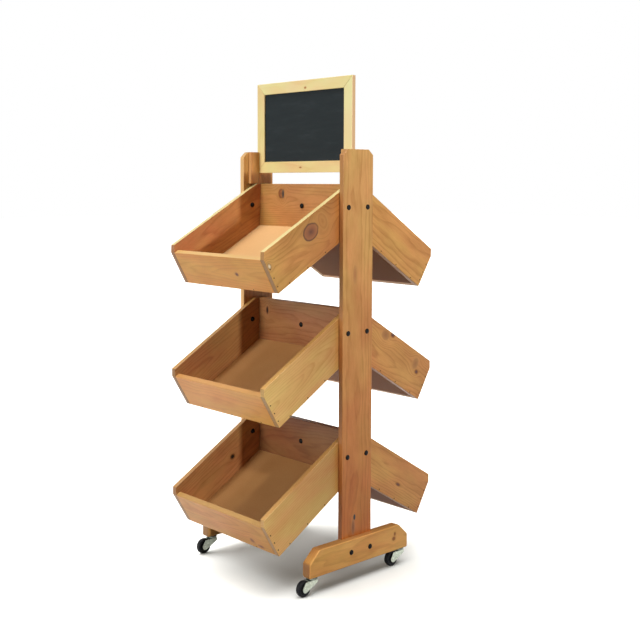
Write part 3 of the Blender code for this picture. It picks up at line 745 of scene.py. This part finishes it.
# %% Zinc
# Mild steel, pressed and zinc-plated: grey-green, with the cloudiness of the bath and fine scratches
# of 0.1 mm from handling, drawn as 0.4 mm. The cups are drawn darker than the forks: painted shade,
# where they sit under the feet.
ZINCS = {"fork": ("#A2AA9E", "#CAD2C6"), "mount": ("#5C625C", "#7E867C")}
BATH, SCRATCH = 6.0, (5.5, 5.5, 0.4)
zincs = {}
for piece, (dark, light) in ZINCS.items():
    material, tree = new_material("zinc_plated_pressed_steel_" + piece)
    place = add_node(tree, "TexCoord", out="Object")
    cloud = add_node(tree, "TexNoise", {}, {"Vector": place, "Scale": cells(BATH), "Detail": 3.0})
    scratch = add_node(tree, "Mapping", {}, {"Vector": place, "Scale": cells(*SCRATCH)})
    scratch = add_node(tree, "TexNoise", {}, {"Vector": scratch, "Scale": 1.0, "Detail": 2.0})
    colour = add_node(tree, "ValToRGB", {"stops": [(0.3, dark), (0.7, light)]}, {"Fac": cloud})
    gloss = add_node(tree, "MapRange", {}, {"Value": scratch, "From Min": 0.3, "From Max": 0.7,
                                            "To Min": 0.24, "To Max": 0.4})
    bump = add_node(tree, "Bump", {}, {"Height": scratch, "Strength": 0.08,
                                       "Distance": 0.05 * MM})
    finish_material(tree, Base_Color=colour, Metallic=1.0, Roughness=gloss, Normal=bump)
    zincs[piece] = material
print("zinc of the", " and the ".join(zincs))

# %% Rubber
# Rubber, moulded round a hub: nearly black, dull, with dust of the floor on it. The grain of its
# mould is 0.1 mm, drawn as 0.7 mm.
MOULD_GRAIN, DUST = 0.7, 14.0
BLACKS = [(0.35, "#0E0F13"), (0.75, "#1A1B21")]
material, tree = new_material("moulded_black_rubber")
place = add_node(tree, "TexCoord", out="Object")
grain = add_node(tree, "TexNoise", {}, {"Vector": place, "Scale": cells(MOULD_GRAIN), "Detail": 2.0})
dust = add_node(tree, "TexNoise", {}, {"Vector": place, "Scale": cells(DUST), "Detail": 4.0})
colour = add_node(tree, "ValToRGB", {"stops": BLACKS}, {"Fac": dust})
gloss = add_node(tree, "MapRange", {}, {"Value": dust, "From Min": 0.3, "From Max": 0.7,
                                        "To Min": 0.42, "To Max": 0.58})
bump = add_node(tree, "Bump", {}, {"Height": grain, "Strength": 0.15, "Distance": 0.1 * MM})
finish_material(tree, Base_Color=colour, Roughness=gloss, Normal=bump, IOR=1.5,
                Specular_IOR_Level=0.15)
casters = [node for node in nodes if node.startswith("caster")]
for node in casters:
    give(node, zincs.get(node.split("_")[-1], material))
print(len(casters), "nodes of 4 casters")

# %% [markdown]
# ## Bolts and nails
# Round-headed black bolts hold the crates, the uprights and the feet together, and thin nails the
# boards of each crate. Each is a shape turned on a lathe: a profile of radius and height,
# carried round an axis. All copies of one kind are worked out at once, as one array, and are one
# mesh. A bolt from a modifier array would be harder to place on so many faces.

# %% Turned pieces
def turned_copies(name, profile, places, axes, steps, material):
    """Copies of a turned shape. Point = place + r cos(a) side + r sin(a) other + h axis.

    profile lists (radius, height) in mm, and its first and last radius are zero, so the poles close.
    side and other are square to the axis and to each other, and steps is the count of angles a.
    """
    profile = np.array(profile, float) * MM
    places, axes = np.array(places, float) * MM, np.array(axes, float)
    axes /= np.linalg.norm(axes, axis=1, keepdims=True)
    helper = np.where(np.abs(axes[:, 2:]) < 0.9, (0.0, 0.0, 1.0), (1.0, 0.0, 0.0))
    side = np.cross(helper, axes)
    side /= np.linalg.norm(side, axis=1, keepdims=True)
    other = np.cross(axes, side)
    angle = np.arange(steps) * 2 * np.pi / steps
    radius, height = profile[1:-1, 0][:, None, None], profile[1:-1, 1][:, None, None]
    around = np.cos(angle)[:, None, None] * side + np.sin(angle)[:, None, None] * other
    rings = radius[..., None] * around[None]
    rings = rings + (height * np.ones((1, steps, 1)))[..., None] * axes
    rings = np.moveaxis(rings + places, 2, 0).reshape(len(places), -1, 3)
    poles = places[:, None] + profile[[0, -1], 1][None, :, None] * axes[:, None]
    points = np.concatenate([rings, poles], axis=1)
    k = len(profile) - 2
    i, j = np.meshgrid(np.arange(k - 1), np.arange(steps), indexing="ij")
    n = (j + 1) % steps
    low, high = i * steps, (i + 1) * steps
    quads = np.stack([low + j, low + n, high + n, high + j], -1).reshape(-1, 4)
    j = np.arange(steps)
    n = (j + 1) % steps
    first = np.stack([n, j, np.full(steps, k * steps)], -1)
    last = np.stack([(k - 1) * steps + j, (k - 1) * steps + n, np.full(steps, k * steps + 1)], -1)
    shift = np.arange(len(places))[:, None, None] * points.shape[1]
    faces = []
    for part in (quads, first, last):
        faces += (part[None] + shift).reshape(-1, part.shape[1]).tolist()
    mesh = bpy.data.meshes.new(name)
    mesh.from_pydata(points.reshape(-1, 3).tolist(), [], faces)
    mesh.polygons.foreach_set("use_smooth", np.ones(len(mesh.polygons), bool))
    mesh.materials.append(material)
    piece = bpy.data.objects.new(name, mesh)
    bpy.context.scene.collection.objects.link(piece)
    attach(piece, "frame")
    print(name, len(places), "copies,", len(mesh.polygons), "faces")
    return piece


# %% Black steel
# Steel, blackened with hot oxide salts: black, with a dull oily sheen and faint clouds.
SALT_CLOUD = 3.8
material, tree = new_material("black_oxide_steel")
place = add_node(tree, "TexCoord", out="Object")
cloud = add_node(tree, "TexNoise", {}, {"Vector": place, "Scale": cells(SALT_CLOUD), "Detail": 3.0})
colour = add_node(tree, "ValToRGB", {"stops": [(0.3, "#060505"), (0.7, "#0E0C0B")]}, {"Fac": cloud})
gloss = add_node(tree, "MapRange", {}, {"Value": cloud, "From Min": 0.3, "From Max": 0.7,
                                        "To Min": 0.38, "To Max": 0.52})
bump = add_node(tree, "Bump", {}, {"Height": cloud, "Strength": 0.1, "Distance": 0.05 * MM})
finish_material(tree, Base_Color=colour, Roughness=gloss, Normal=bump, IOR=1.5,
                Specular_IOR_Level=0.1)
black_steel = material
print("black steel, clouds of", SALT_CLOUD, "mm")

# %% Bolt heads and cap nuts
# Each head has a flat skirt, a rounded edge and a low dome. The cap nut has a flange and a high dome.
# BOLT_ASIDE is how far from the middle the bolts are, BOLT_BELOW how far under the top of a tier, and
# FOOT_BOLT how far above the floor, in mm.
HEAD = [(0, -0.4), (8.1, -0.4), (8.5, 0.0), (8.5, 0.6), (8.1, 1.4), (7.0, 2.5), (5.2, 3.3),
        (2.8, 3.9), (1.0, 4.1), (0, 4.12)]
CAP = [(0, -0.4), (8.3, -0.4), (8.6, 0.0), (8.6, 0.9), (8.3, 1.2), (6.6, 1.3), (6.5, 1.6),
       (6.4, 3.6), (5.5, 5.4), (3.6, 6.6), (1.4, 7.1), (0, 7.2)]
BOLT_ASIDE, BOLT_BELOW, FOOT_BOLT = 43.0, 73.5, 100.0
BOLT_STEPS = 24
UPRIGHT_INNER, UPRIGHT_FACE = (corner.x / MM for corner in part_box("upright_right"))
FOOT_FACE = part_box("foot_right")[1].x / MM
SIDE_INNER, SIDE_OUTER = (corner.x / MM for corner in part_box("crate_middle_front_side_right"))
tier_tops = [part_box(f"crate_{tier}_front_back_board")[1].z / MM for tier in TIERS]
rows = [(s, y, z - BOLT_BELOW) for s in (-1, 1) for y in (-BOLT_ASIDE, BOLT_ASIDE)
        for z in tier_tops]
feet = [(s, y, FOOT_BOLT) for s in (-1, 1) for y in (-BOLT_ASIDE, BOLT_ASIDE)]
outer = [(s * UPRIGHT_FACE, y, z) for s, y, z in rows] + [(s * FOOT_FACE, y, z) for s, y, z in feet]
inner = [(s * SIDE_INNER, y, z) for s, y, z in rows]
inner += [(s * UPRIGHT_INNER, y, z) for s, y, z in feet]
outwards = [(np.sign(x), 0, 0) for x, y, z in outer]
inwards = [(-np.sign(x), 0, 0) for x, y, z in inner]
turned_copies("bolt_heads", HEAD, outer, outwards, BOLT_STEPS, black_steel)
turned_copies("cap_nuts", CAP, inner, inwards, BOLT_STEPS, black_steel)
print("tier tops", [round(z, 1) for z in tier_tops])

# %% Bolts through the back boards
for name, profile, half, way in (("back_bolt_heads", HEAD, "front", -1),
                                 ("back_cap_nuts", CAP, "rear", 1)):
    faces = [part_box(f"crate_{tier}_{half}_back_board")[(way + 1) // 2].y / MM for tier in TIERS]
    places = [(0, y, top - BOLT_BELOW) for y, top in zip(faces, tier_tops)]
    turned_copies(name, profile, places, [(0, way, 0)] * len(places), BOLT_STEPS, black_steel)

# %% Nails
# Thin nails, driven flush: six in each side board, into the lip and the floor, and three in each lip,
# into the floor's edge. Both crates of a tier share one pattern of places, given as for a front crate
# whose back board's top is at zero. On a turned tier each place and axis is turned about the pivot:
# y = y cos + up sin, up = up cos - y sin, where up is the height above it.
NAIL = [(0, -0.3), (2.0, -0.3), (2.2, 0.05), (1.9, 0.3), (0, 0.4)]
NAIL_STEPS = 10
LIP_NORMAL = (0.857, 0.515)  # cosine and sine of the slope
SIDE_NAILS = [(-354, -264), (-338, -290), (-322.5, -316),
              (-274.5, -307), (-200.5, -261.5), (-127, -216)]
LIP_NAILS = {"top": (-152, -36, 122), "middle": (-145, 9, 152), "bottom": (-150, -20, 130)}
LIP_NAIL_PLACE = (-320.0, -334.25)
PIVOT = 1050.0  # about the height of the axis that the top pair is turned about
places, axes = [], []
for tier, (turned, top) in TIERS.items():
    c, t = math.cos(math.radians(turned)), math.sin(math.radians(turned))
    for way in (-1, 1):
        nails = [(s * SIDE_OUTER, y, z, s, 0.0, 0.0) for s in (-1, 1) for y, z in SIDE_NAILS]
        nails += [(x, *LIP_NAIL_PLACE, 0.0, -LIP_NORMAL[0], -LIP_NORMAL[1])
                  for x in LIP_NAILS[tier]]
        for x, y, z, nx, ny, nz in nails:
            y, ny, up = -way * y, -way * ny, z + top - PIVOT
            places.append((x, y * c + up * t, PIVOT + up * c - y * t))
            axes.append((nx, ny * c + nz * t, nz * c - ny * t))
turned_copies("nails", NAIL, places, axes, NAIL_STEPS, black_steel)

# %% [markdown]
# ## Size
# Nothing that was added may make the rack bigger than its drawing, apart from the bolt heads, which
# stand four millimetres proud. How much the scene's box grew over the CAD box is printed.

# %% Sizes and the end
scene_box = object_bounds()
grown = (scene_box[1] - scene_box[0]) - (cad_box[1] - cad_box[0])
print("grown by, in mm:", [round(s / MM, 1) for s in grown])
bpy.context.scene.view_settings.view_transform = "Standard"
